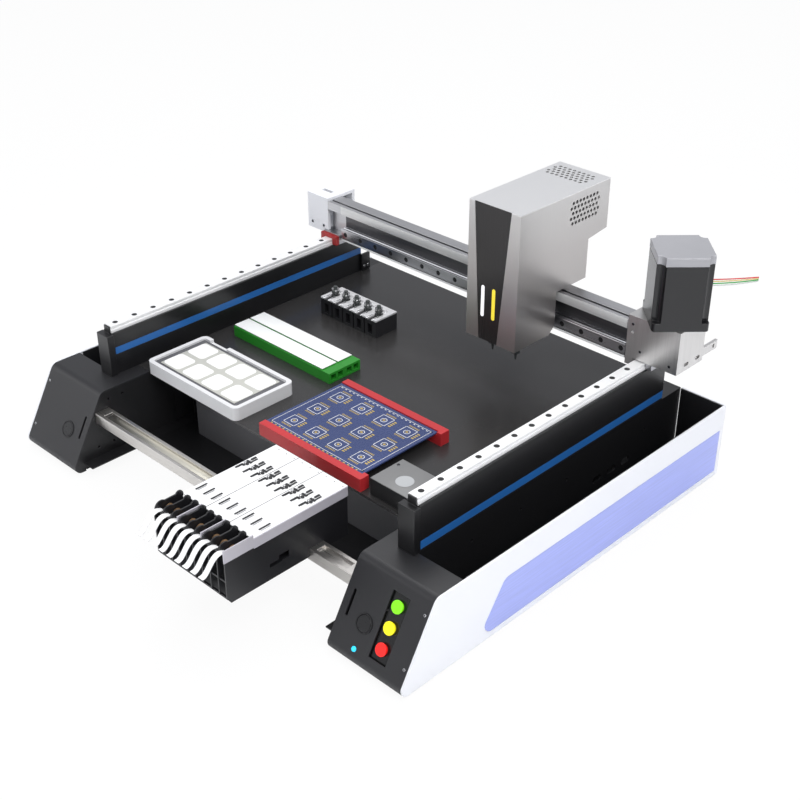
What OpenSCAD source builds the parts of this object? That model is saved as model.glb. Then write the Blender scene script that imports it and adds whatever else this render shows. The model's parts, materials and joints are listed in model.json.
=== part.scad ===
// Desktop pick and place machine with a moving gantry, a two nozzle head and a bank of tape feeders.
// Units are millimetres. X runs along the gantry, Y runs from the feeders to the back, Z is up.

/* [Housings] */
// Half of the width over both side panels
half_w = 290.2; // [250:0.1:330]
// Height of the housings and of the deck above the feet
housing_h = 85.3; // [70:0.1:110]
// Inner face of each housing from the middle
inner_x = 197.5; // [170:0.1:220]
// Sheet thickness of the housings
sheet_t = 2; // [1:0.1:3]
// Height of the rubber feet
foot_h = 2; // [1:0.5:6]
// Back face of the machine
back_y = 395; // [350:1:440]
// Front tip of the waste tapes
front_y = -175; // [-200:1:-160]
// Depth of the sloping front at the top bend
slope_top_y = -46.2; // [-60:0.1:-30]
// Depth of the sloping front at the bottom
slope_low_y = -94.7; // [-110:0.1:-80]

/* [Guides] */
// Middle of each Y guide rail from the middle of the machine
rail_x = 226.4; // [200:0.1:250]
// Width of the black Y beams
beam_w = 17; // [12:0.1:25]
// Height of the black Y beams
beam_h = 48.4; // [30:0.1:60]
// Front end of the Y beams
beam_front_y = -10; // [-20:0.5:0]
// Back end of the Y beams
beam_back_y = 358; // [300:1:390]
// Width of a guide rail
guide_w = 12; // [9:1:15]
// Height of a guide rail
guide_h = 8; // [6:0.5:10]
// Pitch of the guide rail screws
guide_pitch = 25; // [20:1:40]

/* [Deck] */
// Front edge of the deck
deck_front_y = 17; // [0:1:40]
// Thickness of the deck
deck_t = 3; // [2:0.5:6]
// Front of the electronics box below the deck
box_y = 46; // [30:1:80]
// Top of the bottom pan
pan_z = 10.5; // [4:0.5:20]
// Top of the front bar
bar_top = 64; // [50:0.5:75]
// Height of the front bar
bar_h = 12.5; // [8:0.5:20]
// Front face of the front bar
bar_y = -56.6; // [-70:0.1:-40]
// Depth of the front bar
bar_d = 18; // [10:0.5:30]

/* [Feeders] */
// Left side of the feeder bank
feeder_x = 41.5; // [20:0.5:80]
// Pitch of the tape lanes
lane = 11.05; // [8:0.05:14]
// Number of tape lanes
lanes = 9; // [3:3:12]
// Top of the feeder plates
feeder_top = 109.3; // [95:0.1:120]
// Bottom of the feeder bank
feeder_low = 55; // [45:0.5:80]
// Back end of the feeder bank
feeder_back_y = -7; // [-20:0.5:5]
// Front end of the feeder side plates
feeder_front_y = -152; // [-170:1:-120]

/* [Gantry] */
// Front face of the gantry beam
gantry_y = 320; // [250:1:350]
// Bottom of the gantry beam
gantry_z = 140; // [130:0.5:160]
// Height of the gantry beam
gantry_h = 44; // [30:0.5:60]
// Depth of the gantry beam
gantry_d = 23; // [15:0.5:40]
// Width over the flats of the motor
motor_w = 56.4; // [42:0.1:60]
// Height of the motor
motor_h = 78.5; // [50:0.5:100]

/* [Head] */
// Left side of the head
head_x = 55.5; // [-150:0.5:120]
// Width of the head
head_w = 67; // [50:0.5:90]
// Front of the head
head_y = 248; // [220:1:280]
// Depth of the head at the top
head_d = 144.5; // [100:0.5:160]
// Top of the head
head_top = 291.4; // [250:0.1:320]
// Bottom of the head
head_low = 140; // [130:0.5:160]
// Distance between the two nozzles
nozzle_pitch = 31.8; // [20:0.1:40]

/* [Work area] */
// Left end of the board clamps
clamp_x = -13; // [-40:1:20]
// Length of the board clamps
clamp_l = 145; // [100:1:180]
// Height of the board clamps
clamp_h = 14.5; // [8:0.5:20]
// Front face of the front clamp
clamp_y = 17; // [0:1:40]
// Gap between the two clamps
clamp_gap = 99.4; // [60:0.1:140]
// Pitch of the nozzle holders
holder_pitch = 18; // [12:0.5:24]

/* [Part] */
// Which sub-part to show

/* [Hidden] */
$fn = 48;
y_mid = (front_y + back_y) / 2;
top_z = housing_h;
face_tilt = 90 - atan((slope_top_y - slope_low_y) / top_z);
beam_z = top_z;
rail_z = beam_z + beam_h;
rail_top = rail_z + guide_h;
feeder_w = lane * lanes;
feeder_right = feeder_x + feeder_w;
outer_x = half_w - sheet_t;
roller_y = -138;
roller_z = 104;
beam_in = rail_x - beam_w / 2;
beam_out = rail_x + beam_w / 2;
head_mid = head_x + head_w / 2;
board_y = clamp_y + 4;

// Everything is drawn from the first rail screw and moved to the middle of the footprint here.
module placed()
{
    translate([0, -y_mid, foot_h])
        children();
}

// Box from one corner to the opposite corner.
module slab(a, b)
{
    translate([min(a[0], b[0]), min(a[1], b[1]), min(a[2], b[2])])
        cube([abs(b[0] - a[0]), abs(b[1] - a[1]), abs(b[2] - a[2])]);
}

// A piece drawn on the right and repeated on the left.
module both_sides()
{
    children();
    mirror([1, 0, 0])
        children();
}

// Extrudes a profile drawn in Y and Z along X, from x0 to x1.
module along_x(x0, x1)
{
    translate([x0, 0, 0])
        rotate([90, 0, 90])
            linear_extrude(height = x1 - x0)
                children();
}

// Extrudes a profile drawn in X and Z along Y, from y0 to y1.
module along_y(y0, y1)
{
    translate([0, y1, 0])
        rotate([90, 0, 0])
            linear_extrude(height = y1 - y0)
                children();
}

// Rounded rectangle.
module round_rect(w, h, r)
{
    difference() {
        square([w, h], center = true);
        for (i = [-1, 1])
            for (j = [-1, 1])
                difference() {
                    translate([i * w / 2, j * h / 2])
                        square(2 * r, center = true);
                    translate([i * (w / 2 - r), j * (h / 2 - r)])
                        circle(r);
                }
    }
}

// Points of a rounded corner at b between a and c.
function unit(v) = v / norm(v);
function bend(a, b, c, r, n = 8) =
    let (u = unit(a - b), v = unit(c - b), h = acos(u * v) / 2, d = r / tan(h))
    let (m = b + unit(u + v) * r / sin(h), s = b + u * d - m, e = b + v * d - m)
    [for (i = [0 : n]) m + r * unit(s * (1 - i / n) + e * i / n)];

// Side outline of a housing, t inside the outer surface.
function nose(t) =
    let (k = (slope_top_y - slope_low_y) / top_z, w = t * sqrt(1 + k * k))
    let (lo = [slope_low_y + w + k * t, t], hi = [slope_top_y + w - k * t, top_z - t])
    concat(bend([0, t], lo, hi, 8 - t), bend(lo, hi, [0, top_z - t], 10 - t));

// Places something on the sloping front, s along the slope from the top corner, at x.
module on_face(x, s)
{
    translate([x, slope_top_y, top_z])
        rotate([face_tilt, 0, 0])
            translate([0, -s, 0])
                children();
}

// ---- housings ----

module cover_shell(buttons)
{
    difference() {
        union() {
            along_x(inner_x, outer_x)
                polygon(concat([[-76, 0]], nose(0), [[-12, top_z], [-12, top_z - sheet_t]],
                    [for (i = [17 : -1 : 0]) nose(sheet_t)[i]], [[-76, sheet_t]]));
            slab([inner_x, -14, top_z - sheet_t], [beam_in, deck_front_y, top_z]);
        }
        on_face(206.9, 44)
            linear_extrude(height = 12, center = true)
                round_rect(3, 26, 1.45);
        on_face(228.7, 54.1)
            cylinder(r = 7.9, h = 20, center = true);
        for (s = [18.5, 69.5])
            on_face(284.2, s)
                cylinder(r = 1.6, h = 20, center = true);
        if (buttons) {
            on_face(255.2, 45.2)
                cube([20.5, 64, 20], center = true);
            on_face(227.8, 79)
                cylinder(r = 2.8, h = 20, center = true);
        }
    }
}

module left_cover()
{
    color([0.07, 0.07, 0.08])
        placed()
            mirror([1, 0, 0])
                cover_shell(false);
}

module right_cover()
{
    color([0.07, 0.07, 0.08])
        placed()
            cover_shell(true);
}

module inner_walls()
{
    color([0.06, 0.06, 0.07])
        placed()
            both_sides() {
                difference() {
                    along_x(inner_x + 0.2, inner_x + sheet_t)
                        polygon(concat([for (p = nose(sheet_t)) p],
                            [[deck_front_y - 0.2, top_z - sheet_t], [deck_front_y - 0.2, top_z - deck_t - 0.1],
                                [box_y, top_z - deck_t - 0.1], [box_y, sheet_t]]));
                    for (p = [[-57, 22], [-37, 21.5], [-38, 74], [-20, 74]])
                        translate([inner_x, p[0], p[1]])
                            rotate([0, 90, 0])
                                cylinder(r = 1.5, h = 20, center = true);
                }
                slab([inner_x - 15, -77, pan_z - 1.5], [inner_x + 1, box_y, pan_z]);
            }
}

module panel_shell()
{
    difference() {
        union() {
            along_x(outer_x, half_w)
                polygon(concat(nose(0), [[back_y, top_z], [back_y, 0]]));
            slab([beam_out + 1, back_y - sheet_t, 0], [outer_x + 1, back_y, top_z]);
        }
        along_x(half_w - 1, half_w + 1)
            insert_outline(0);
    }
}

// Outline of the blue panel, g smaller on every side.
module insert_outline(g)
{
    polygon(concat(
        bend([300, 6 + g], [8 + g, 6 + g], [43 + g, 57 - g], 10),
        bend([8 + g, 6 + g], [43 + g, 57 - g], [300, 57 - g], 10),
        [[back_y - 6, 57 - g], [back_y - 6, 6 + g]]));
}

module left_side_panel()
{
    color([0.9, 0.9, 0.92])
        placed()
            mirror([1, 0, 0])
                panel_shell();
}

module right_side_panel()
{
    color([0.9, 0.9, 0.92])
        placed()
            panel_shell();
}

module blue_inserts()
{
    color([0.45, 0.53, 0.85])
        placed()
            both_sides()
                along_x(half_w - 1, half_w - 0.2)
                    insert_outline(0.4);
}

module base_floors()
{
    color([0.08, 0.08, 0.09])
        placed() {
            both_sides() {
                slab([inner_x + sheet_t, -74, 0], [outer_x, back_y - sheet_t, sheet_t]);
                difference() {
                    slab([beam_out - sheet_t, -10, sheet_t], [beam_out, back_y - sheet_t, top_z]);
                    for (y = [252, 276, 300])
                        translate([beam_out, y, 36])
                            rotate([90, 0, 90])
                                linear_extrude(height = 10, center = true)
                                    round_rect(14, 7, 3.4);
                    for (y = [60, 130, 200, 330])
                        translate([beam_out, y, 60])
                            rotate([0, 90, 0])
                                cylinder(r = 1.6, h = 10, center = true);
                }
                slab([beam_in + 0.1, -10, top_z - sheet_t], [beam_out - sheet_t, back_y - sheet_t, top_z]);
            }
            slab([-inner_x + 15, 0, pan_z - 1.5], [inner_x - 15, back_y - sheet_t, pan_z]);
        }
}

module feet()
{
    color([0.05, 0.05, 0.05])
        placed()
            both_sides()
                for (y = [-62, 60, 220, 375])
                    for (x = [215, 272])
                        translate([x, y, -foot_h])
                            cylinder(r = 8, h = foot_h);
}

// ---- guides ----

module beam_profile()
{
    difference() {
        square([beam_w, beam_h]);
        translate([beam_w - 0.8, 1.9])
            square([2, 8.9]);
        translate([-1.2, 23.4])
            square([2, 8]);
        for (z = [12, 36])
            translate([beam_w / 2, z])
                circle(2.6);
    }
}

module y_beams()
{
    color([0.05, 0.05, 0.06])
        placed()
            both_sides()
                translate([beam_in, 0, beam_z])
                    along_y(beam_front_y, beam_back_y)
                        beam_profile();
}

module blue_strips()
{
    color([0.05, 0.25, 0.6])
        placed()
            both_sides() {
                slab([beam_out - 0.8, -8.6, beam_z + 1.9], [beam_out - 0.1, beam_back_y, beam_z + 10.8]);
                slab([beam_in + 0.1, -8.6, beam_z + 23.4], [beam_in + 0.8, beam_back_y, beam_z + 31.4]);
            }
}

// Cross section of a guide rail, standing on z = 0 around x = 0.
module guide_profile()
{
    w = guide_w / 2;
    h = guide_h;
    polygon([[-w, 0], [w, 0], [w, h * 0.42], [w - 0.9, h * 0.5], [w - 0.9, h * 0.66], [w, h * 0.74],
        [w, h - 0.4], [w - 0.4, h], [-w + 0.4, h], [-w, h - 0.4], [-w, h * 0.74], [-w + 0.9, h * 0.66],
        [-w + 0.9, h * 0.5], [-w, h * 0.42]]);
}

module guide_screw()
{
    translate([0, 0, guide_h - 4.5])
        cylinder(r = 3, h = 5);
    translate([0, 0, -1])
        cylinder(r = 1.8, h = guide_h);
}

module y_rails()
{
    color([0.75, 0.75, 0.77])
        placed()
            both_sides()
                translate([rail_x, 0, rail_z])
                    difference() {
                        along_y(beam_front_y, beam_back_y - 3)
                            guide_profile();
                        for (i = [0 : 14])
                            translate([0, i * guide_pitch, 0])
                                guide_screw();
                    }
}

module end_blocks()
{
    color([0.06, 0.06, 0.07])
        placed()
            both_sides() {
                slab([rail_x - 10.4, beam_front_y - 8.4, top_z], [rail_x + 9.6, beam_front_y - 0.1, rail_z - 0.5]);
                slab([rail_x - 5, beam_front_y - 1.6, rail_z - 2.4], [rail_x + 5, beam_front_y - 0.1, rail_top - 0.4]);
            }
}

// ---- deck and base ----

module deck()
{
    color([0.07, 0.07, 0.08])
        placed()
            difference() {
                slab([-beam_in, deck_front_y, top_z - deck_t], [beam_in, back_y - sheet_t, top_z]);
                for (x = [-205, 205])
                    for (y = [40, 160, 280])
                        translate([x, y, top_z - 2])
                            cylinder(r = 1.6, h = 5);
            }
}

module electronics_box()
{
    color([0.3, 0.3, 0.32])
        placed()
            difference() {
                slab([-157, box_y, pan_z], [inner_x - 1, back_y - 20, top_z - deck_t]);
                slab([-155, box_y + 2, pan_z + 2], [inner_x - 3, back_y - 22, top_z - deck_t - 2]);
            }
}

module front_bar()
{
    color([0.72, 0.71, 0.69])
        placed()
            difference() {
                slab([-inner_x, bar_y, bar_top - bar_h], [inner_x, bar_y + bar_d, bar_top]);
                slab([-inner_x + 12, bar_y + 4, bar_top - 3], [feeder_x - 6, bar_y + bar_d - 4, bar_top + 1]);
                slab([feeder_right + 6, bar_y + 4, bar_top - 3], [inner_x - 12, bar_y + bar_d - 4, bar_top + 1]);
            }
}

// ---- feeder bank ----

module side_plate(x0, x1)
{
    difference() {
        along_x(x0, x1)
            polygon([[feeder_front_y, feeder_low + 6], [feeder_front_y + 4, feeder_low],
                [bar_y - 0.3, feeder_low], [bar_y - 0.3, bar_top], [bar_y + bar_d + 0.3, bar_top],
                [bar_y + bar_d + 0.3, feeder_low], [feeder_back_y - 1, feeder_low],
                [feeder_back_y - 1, feeder_top - 1.2], [feeder_front_y + 40, feeder_top - 1.2],
                [feeder_front_y + 30, feeder_top - 8], [feeder_front_y, feeder_top - 8]]);
        along_x(x0 - 1, x1 + 1)
            polygon([[-103, 68], [-103, 72], [-92, 72], [-92, 76], [-80, 76], [-80, 69], [-88, 69], [-88, 68]]);
    }
}

module feeder_frame()
{
    color([0.06, 0.06, 0.07])
        placed() {
            side_plate(feeder_right - 1.5, feeder_right);
            side_plate(feeder_x, feeder_x + 1.5);
            for (i = [1 : lanes - 1])
                side_plate(feeder_x + i * lane - 0.6, feeder_x + i * lane + 0.6);
            slab([feeder_x + 1, feeder_back_y - 4, bar_top + 3], [feeder_right - 1, feeder_back_y - 2, feeder_top - 1.2]);
            slab([feeder_x + 1, -110, bar_top + 6], [feeder_right - 1, -108, feeder_top - 1.2]);
            slab([feeder_x + 1, -120, bar_top + 1.5], [feeder_right - 1, -26, bar_top + 2.5]);
            for (z = [feeder_low + 4, feeder_low + 22])
                slab([feeder_x + 1, feeder_front_y + 1, z], [feeder_right - 1, feeder_front_y + 3, z + 2]);
        }
}

module feeder_plates()
{
    color([0.93, 0.93, 0.93])
        placed()
            for (m = [0 : 2])
                translate([feeder_x + m * 3 * lane, 0, 0])
                    difference() {
                        slab([0.15, -120, feeder_top - 1.2], [3 * lane - 0.15, feeder_back_y, feeder_top]);
                        for (i = [0 : 2])
                            translate([(i + 0.5) * lane, 0, feeder_top]) {
                                slab([-2.4, -58, -3], [-1, -35, 3]);
                                slab([-1.2, -108, -3], [0, -96, 3]);
                                slab([1.4, -108, -3], [2, -98, 3]);
                                translate([3, feeder_back_y - 4, 0])
                                    cylinder(r = 0.9, h = 6, center = true);
                            }
                    }
}

module feeder_lip()
{
    color([0.8, 0.8, 0.84])
        placed() {
            slab([feeder_right, -153.4, feeder_top - 9], [feeder_right + 1, -120, feeder_top + 4.2]);
            slab([feeder_right, -120, feeder_top - 10.3], [feeder_right + 1, feeder_back_y - 1, feeder_top]);
            for (m = [1, 2])
                difference() {
                    slab([feeder_x + m * 3 * lane - 0.9, -150, feeder_top - 8],
                        [feeder_x + m * 3 * lane + 0.2, -122.2, feeder_top + 5]);
                    translate([feeder_x + m * 3 * lane, roller_y, roller_z])
                        rotate([0, 90, 0])
                            cylinder(r = 1.06, h = 10, center = true);
                }
        }
}

module feeder_guides()
{
    color([0.09, 0.09, 0.1])
        placed()
            for (i = [0 : lanes - 1])
                translate([feeder_x + i * lane + 1.6, 0, 0])
                    difference() {
                        union() {
                            slab([0, -147, feeder_top - 7.9], [1.6, -121, feeder_top + 3.5]);
                            translate([0, -124.6, feeder_top + 1.5])
                                rotate([0, 90, 0])
                                    cylinder(r = 4.3, h = 1.6);
                            translate([0, -145, feeder_top - 2])
                                rotate([0, 90, 0])
                                    cylinder(r = 7, h = 1.6);
                            slab([0, -149, 103.6], [7.8, -146, 106.4]);
                        }
                        translate([0, roller_y, roller_z])
                            rotate([0, 90, 0])
                                cylinder(r = 1.06, h = 10, center = true);
                    }
}

module feeder_rollers()
{
    color([0.42, 0.3, 0.16])
        placed() {
            for (i = [0 : lanes - 1])
                translate([feeder_x + i * lane + 4, roller_y, roller_z])
                    rotate([0, 90, 0])
                        cylinder(r = 4.6, h = 5.4);
            translate([feeder_x + 1.7, roller_y, roller_z])
                rotate([0, 90, 0])
                    cylinder(r = 1, h = feeder_w - 3.6);
        }
}

// Side line of a waste tape, leaving the roller and curling down.
function tape_line(n) =
    let (a = [-146, 106.4], b = [-162, 117], c = [-166, 91], d = [front_y, 94])
    [for (i = [0 : n]) let (t = i / n, u = 1 - t)
        u * u * u * a + 3 * u * u * t * b + 3 * u * t * t * c + t * t * t * d];

module feeder_tapes()
{
    line = tape_line(20);
    color([0.97, 0.97, 0.97])
        placed()
            for (i = [0 : lanes - 1])
                along_x(feeder_x + i * lane + 3.4, feeder_x + i * lane + 9.4)
                    polygon(concat(line, [for (k = [20 : -1 : 0]) line[k] + [0, 0.6]]));
}

// ---- work area ----

module part_tray()
{
    color([0.88, 0.88, 0.88])
        placed()
            translate([-123, 55.5, top_z])
                difference() {
                    linear_extrude(height = 15)
                        round_rect(149, 81, 7);
                    translate([0, 0, 12.5])
                        linear_extrude(height = 4)
                            round_rect(139, 71, 4);
                    translate([-46, 38, 11])
                        slab([-14, -3, 0], [14, 4, 5]);
                }
}

module tray_pads()
{
    color([0.95, 0.95, 0.93])
        placed()
            translate([-123, 55.5, top_z + 12.5])
                for (i = [0 : 3])
                    for (j = [0 : 1])
                        translate([(i - 1.5) * 32, (j - 0.5) * 32, 0])
                            linear_extrude(height = 1.6)
                                round_rect(27, 26, 5);
}

module stick_feeders()
{
    color([0.1, 0.5, 0.12])
        placed()
            for (j = [0 : 1])
                difference() {
                    slab([-196, 135 + j * 23.1, top_z], [-37, 157.9 + j * 23.1, top_z + 12.4]);
                    slab([-190, 138 + j * 23.1, top_z + 10.9], [-55, 154.9 + j * 23.1, top_z + 14]);
                    for (i = [0 : 1])
                        slab([-60, 138 + i * 10 + j * 23.1, top_z + 3], [-30, 145 + i * 10 + j * 23.1, top_z + 9.5]);
                }
}

module stick_lids()
{
    color([0.95, 0.95, 0.95])
        placed()
            for (j = [0 : 1])
                slab([-189.8, 138.2 + j * 23.1, top_z + 10.9], [-55.2, 154.7 + j * 23.1, top_z + 13.2]);
}

module changer_block()
{
    color([0.07, 0.07, 0.08])
        placed()
            difference() {
                slab([-167, 243, top_z], [-75.5, 277, top_z + 20]);
                for (i = [0 : 4])
                    translate([-157.5 + i * holder_pitch, 243, top_z]) {
                        slab([-3.5, -1, 3], [3.5, 5, 15]);
                        translate([0, 15, 8])
                            cylinder(r = 4.05, h = 20);
                    }
                for (i = [0 : 3])
                    slab([-149.3 + i * holder_pitch, 240, top_z - 1], [-147.7 + i * holder_pitch, 249, top_z + 21]);
            }
}

module changer_plate()
{
    color([0.5, 0.5, 0.52])
        placed() {
            difference() {
                slab([-167, 243, top_z + 20], [-75.5, 277, top_z + 22]);
                for (i = [0 : 4])
                    translate([-157.5 + i * holder_pitch, 258, top_z + 15]) {
                        cylinder(r = 5, h = 12);
                        slab([-3, -30, 0], [3, 0, 12]);
                    }
            }
            for (i = [0 : 4])
                translate([-157.5 + i * holder_pitch, 268, top_z + 22])
                    cylinder(r = 2.6, h = 2.5);
        }
}

module changer_nozzles()
{
    color([0.15, 0.15, 0.16])
        placed()
            for (i = [0 : 4])
                translate([-157.5 + i * holder_pitch, 258, top_z + 8]) {
                    cylinder(r = 4, h = 13);
                    translate([0, 0, 13])
                        cylinder(r = 2.6, h = 4);
                    translate([0, 0, 17])
                        cylinder(r = 4.6, h = 3);
                    translate([0, 0, 20])
                        cylinder(r = 2.4, h = 5);
                }
}

module clamp_bar(y, depth, inward)
{
    difference() {
        slab([clamp_x, y, top_z + 0.1], [clamp_x + clamp_l, y + depth, top_z + clamp_h]);
        slab([clamp_x - 1, y + (inward > 0 ? depth - 3 : -1), top_z + clamp_h - 3],
            [clamp_x + clamp_l - 6, y + (inward > 0 ? depth + 1 : 3), top_z + clamp_h + 1]);
        for (x = [14, clamp_l - 14])
            translate([clamp_x + x, y + depth / 2, top_z + 7])
                rotate([90, 0, 0])
                    translate([0, 0, -inward * 4])
                        cylinder(r = 2.2, h = depth, center = true);
    }
}

module front_clamp()
{
    color([0.75, 0.12, 0.12])
        placed()
            clamp_bar(clamp_y, 11.6, 1);
}

module rear_clamp()
{
    color([0.75, 0.12, 0.12])
        placed()
            clamp_bar(clamp_y + 11.6 + clamp_gap, 12, -1);
}

module circuit_board()
{
    color([0.16, 0.2, 0.36])
        placed()
            translate([clamp_x, clamp_y + 8.8, top_z + clamp_h - 2.9])
                difference() {
                    cube([138, clamp_gap + 5.4, 1.6]);
                    for (x = [4, 134])
                        for (y = [5, clamp_gap + 0.4])
                            translate([x, y, -1])
                                cylinder(r = 1.6, h = 4);
                }
}

module camera_box()
{
    color([0.12, 0.12, 0.13])
        placed()
            difference() {
                slab([140, 22, top_z], [196, 66, top_z + 18]);
                translate([160, 44, top_z + 12])
                    cylinder(r = 9.3, h = 10);
            }
}

module camera_lens()
{
    color([0.25, 0.25, 0.27])
        placed()
            translate([160, 44, top_z + 12]) {
                cylinder(r = 9, h = 4);
                cylinder(r = 5, h = 5.5);
            }
}

// ---- controls ----

module button_plate()
{
    color([0.06, 0.06, 0.06])
        placed()
            on_face(255.2, 45.2)
                translate([0, 0, -3.6])
                    difference() {
                        cube([20.1, 63.6, 2], center = true);
                        for (i = [-1 : 1])
                            translate([0, i * 20.2, 0])
                                cylinder(r = 5.05, h = 10, center = true);
                    }
}

// A push button with its stem through the plate.
module push_button(s)
{
    placed()
        on_face(255.2, s) {
            translate([0, 0, -0.5])
                cylinder(r = 6.2, h = 1.5);
            translate([0, 0, -9])
                cylinder(r = 5, h = 9);
        }
}

module green_button()
{
    color([0.5, 0.95, 0.05])
        push_button(25);
}

module yellow_button()
{
    color([0.98, 0.95, 0.05])
        push_button(45.2);
}

module red_button()
{
    color([0.95, 0.05, 0.03])
        push_button(65.4);
}

module black_button()
{
    on_face(228.7, 54.1)
        translate([0, 0, -8])
            cylinder(r = 7.8, h = 8.8);
}

module left_black_button()
{
    color([0.04, 0.04, 0.04])
        placed()
            mirror([1, 0, 0])
                black_button();
}

module right_black_button()
{
    color([0.04, 0.04, 0.04])
        placed()
            black_button();
}

module status_led()
{
    color([0.1, 0.75, 0.9])
        placed()
            on_face(227.8, 79)
                translate([0, 0, -3])
                    cylinder(r = 2.5, h = 3.6);
}

// ---- gantry ----

// Runner block around a Y rail, on the side given, from y0 to y1, w wide and h high.
module runner(side, y0, y1, w, h)
{
    translate([side * rail_x, 0, rail_z])
        difference() {
            slab([-w / 2, y0, 1], [w / 2, y1, h]);
            slab([-guide_w / 2 - 0.3, y0 - 1, -1], [guide_w / 2 + 0.3, y1 + 1, guide_h + 0.3]);
        }
}

module y_carriages()
{
    color([0.55, 0.55, 0.57])
        placed() {
            runner(-1, gantry_y - 3, gantry_y + 40, 27, 13);
            runner(1, gantry_y + 3.1, gantry_y + 43, 27, 13);
        }
}

module carriage_seals()
{
    color([0.6, 0.08, 0.08])
        placed() {
            runner(-1, gantry_y - 8, gantry_y - 3, 27, 12);
            runner(1, gantry_y + 43, gantry_y + 46, 27, 12);
        }
}

module gantry_beam()
{
    color([0.7, 0.7, 0.71])
        placed()
            translate([0, gantry_y, gantry_z])
                difference() {
                    along_x(-234.9, 209)
                        difference() {
                            square([gantry_d, gantry_h]);
                            translate([-1, 2.2])
                                square([9, gantry_h - 12.7]);
                            translate([5, gantry_h - 4])
                                square([3.2, 6]);
                            translate([12, 18])
                                square([7, 16]);
                        }
                    slab([-240, -1, -1], [-212.5, gantry_d + 1, rail_z + 13 - gantry_z]);
                }
}

module gantry_rail()
{
    color([0.72, 0.72, 0.74])
        placed()
            translate([0, gantry_y + guide_h, gantry_z + 9])
                rotate([90, 0, 0])
                    difference() {
                        along_y_rail(-212, 208);
                        for (i = [-8 : 8])
                            translate([i * 25.5 - 1, 0, 0])
                                guide_screw();
                    }
}

// Guide rail lying along X.
module along_y_rail(x0, x1)
{
    rotate([90, 0, 90])
        translate([0, 0, x0])
            linear_extrude(height = x1 - x0)
                guide_profile();
}

module left_end_box()
{
    color([0.9, 0.9, 0.9])
        placed()
            difference() {
                slab([-270.7, 320, 142.1], [-235, 365, 187]);
                slab([-262, 336, 175], [-246, 341, 190]);
                slab([-268, 324, 146], [-234, 361, 183]);
                slab([-242, 310, 140], [-234, 366, rail_z + 13.1]);
                for (x = [-263, -243])
                    translate([x, 320, 150])
                        rotate([90, 0, 0])
                            cylinder(r = 2, h = 12, center = true);
            }
}

module right_bracket()
{
    color([0.78, 0.77, 0.76])
        placed()
            difference() {
                union() {
                    slab([209, 320, 143], [271, 323, 190]);
                    slab([209, 320, rail_z + 0.8], [beam_in + 0.5, 323, 150]);
                    slab([268, 320, 143], [271, 366, 190]);
                    slab([268, 366, 147.5], [271, 392, 157]);
                    slab([209, 320, 187], [271, 366, 190]);
                    slab([212, 322, rail_z + 13], [269, 366, rail_z + 16]);
                }
                for (p = [[215.3, 181], [215.5, 172], [226.5, 153.3], [262, 150]])
                    translate([p[0], 320, p[1]])
                        rotate([90, 0, 0])
                            cylinder(r = 1.7, h = 12, center = true);
                for (y = [336.5, 356.5])
                    translate([270, y, 150])
                        rotate([90, 0, 90])
                            linear_extrude(height = 10, center = true)
                                round_rect(8, 4, 1.9);
                translate([270, 385, 152])
                    rotate([0, 90, 0])
                        cylinder(r = 2.2, h = 10, center = true);
            }
}

module motor()
{
    color([0.08, 0.08, 0.09])
        placed()
            translate([248, 343, 190])
                rotate([0, 0, 45])
                    difference() {
                        linear_extrude(height = motor_h - 9)
                            round_rect(motor_w, motor_w, 4);
                        for (i = [-1, 1])
                            for (j = [-1, 1])
                                translate([i * 27, j * 27, 9])
                                    cylinder(r = 7, h = motor_h);
                    }
}

module motor_cap()
{
    color([0.6, 0.6, 0.62])
        placed()
            translate([248, 343, 190 + motor_h - 9])
                rotate([0, 0, 45])
                    difference() {
                        linear_extrude(height = 9)
                            round_rect(motor_w, motor_w, 5);
                        for (i = [-1, 1])
                            for (j = [-1, 1])
                                translate([i * 27, j * 27, -1])
                                    cylinder(r = 6, h = 20);
                    }
}

// ---- head ----

// Side outline of the head, g inside the outer surface.
module head_outline(g)
{
    polygon(concat(
        [[head_y + g, head_low + g], [head_y + g, head_top - g], [head_y + head_d - g, head_top - g],
        [head_y + head_d - g, 236 + g], [361.6 - g, 232 + g], [361.6 - g, 187.5 + g],
        [312.5 - g, 187.5 + g], [312.5 - g, 149 + g], [304 - g, head_low + g]]));
}

module head_cover()
{
    color([0.78, 0.77, 0.76])
        placed()
            difference() {
                along_x(head_x, head_x + head_w)
                    head_outline(0);
                along_x(head_x + 2, head_x + head_w - 2)
                    difference() {
                        head_outline(2);
                        translate([head_y + 12, head_low - 20])
                            square([80, 26]);
                    }
                for (i = [-1, 1])
                    for (j = [0, 1])
                        translate([head_mid + i * nozzle_pitch / 2, head_y + 24, head_low + j * 12])
                            cylinder(r = 5.08, h = 20, center = true);
                for (r = [0 : 4])
                    for (i = [0 : 7 + r % 2]) {
                        translate([head_x + 7 + i * 6.1 + (r % 2 == 0 ? 3 : 0), head_y + 111 + r * 5.6, head_top])
                            cylinder(r = 1.9, h = 8, center = true, $fn = 16);
                        translate([head_x + head_w, head_y + 81 + i * 5.6 + (r % 2 == 0 ? 2.8 : 0), 258 + r * 5.6])
                            rotate([0, 90, 0])
                                cylinder(r = 1.9, h = 8, center = true, $fn = 16);
                    }
                translate([0, head_y - 1, 0])
                    along_y(0, 1.6)
                        insert_shape(0);
            }
}

// Dark wedge on the front of the head.
module insert_shape(g)
{
    polygon([[73 + g, head_low - 1], [62.7 + g, head_top + 1], [110.9 - g, head_top + 1], [97.8 - g, head_low - 1]]);
}

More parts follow.
